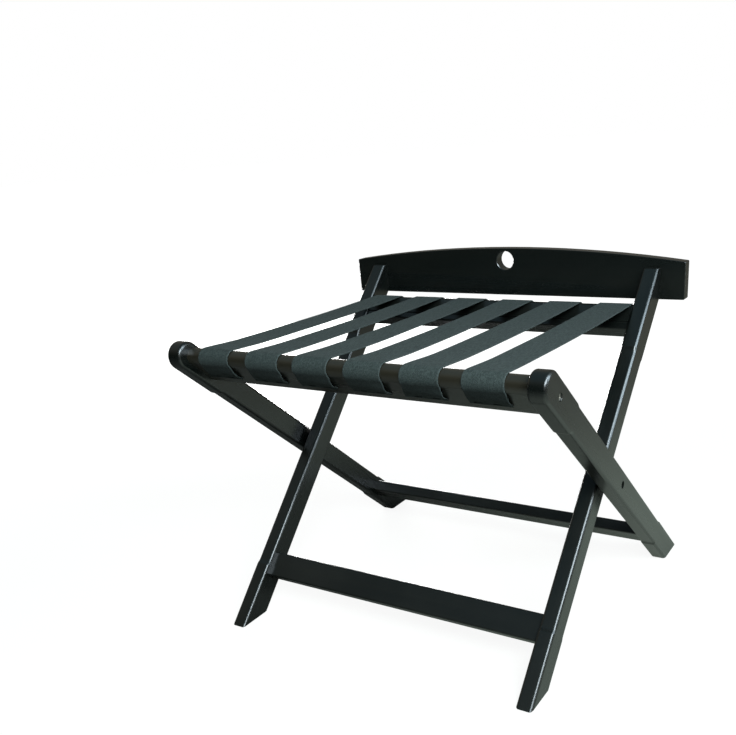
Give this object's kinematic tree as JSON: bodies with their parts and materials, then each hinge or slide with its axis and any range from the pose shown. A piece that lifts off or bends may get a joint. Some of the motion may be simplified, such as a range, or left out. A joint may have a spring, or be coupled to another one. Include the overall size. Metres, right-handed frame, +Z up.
{
  "type": "luggage bench",
  "caption": "Folding luggage bench: two crossed black wooden frames on side pivots, webbing straps between the top rails, and an arched headboard with a hand hole and felt back.",
  "frame": {"origin": "centre of the bench's box at floor level", "axes": "+X across the bench, to the right for someone facing the headboard; +Y from the front rail to the headboard; +Z up"},
  "size_m": [0.6176, 0.552, 0.5259],
  "materials": {
    "lacquered_wood": "satin black lacquer over fine grain, worn at a few edges",
    "webbing": "charcoal twill webbing",
    "felt": "pressed speckled felt",
    "dark_steel": "black oxide",
    "steel": "turned",
    "nickel": "bright nickel plate",
    "zinc_steel": "zinc plate",
    "brass": "turned",
    "nylon": "black nylon",
    "dowel_beech": "bare beech",
    "staple_wire": "blackened wire"
  },
  "bodies": {
    "outer_frame": {"outer_leg_left": "lacquered_wood", "outer_leg_right": "lacquered_wood", "front_rail": "lacquered_wood", "rear_stretcher": "lacquered_wood", "strap_1": "webbing", "strap_2": "webbing", "strap_3": "webbing", "strap_4": "webbing", "strap_5": "webbing", "strap_6": "webbing", "pivot_bushings": "steel", "pivot_washers": "nylon", "front_rail_screws": "nickel", "front_rail_dowels": "dowel_beech", "rear_stretcher_dowels": "dowel_beech", "front_strap_staples": "staple_wire"},
    "inner_frame": {"inner_leg_left": "lacquered_wood", "inner_leg_right": "lacquered_wood", "rear_rail": "lacquered_wood", "front_stretcher": "lacquered_wood", "headboard": "lacquered_wood", "felt_pad": "felt", "pivot_bolts": "dark_steel", "pivot_inserts": "brass", "rear_rail_dowels": "dowel_beech", "front_stretcher_dowels": "dowel_beech", "headboard_screws": "zinc_steel", "rear_strap_staples": "staple_wire"}
  },
  "joints": [
    {"name": "fold", "type": "hinge", "parent": "outer_frame", "child": "inner_frame", "pos_m": [0, -0.01419, 0.232], "axis": [1, 0, 0], "range_deg": [0, 84.5], "deforming": ["strap_1", "strap_2", "strap_3", "strap_4", "strap_5", "strap_6"]}
  ]
}
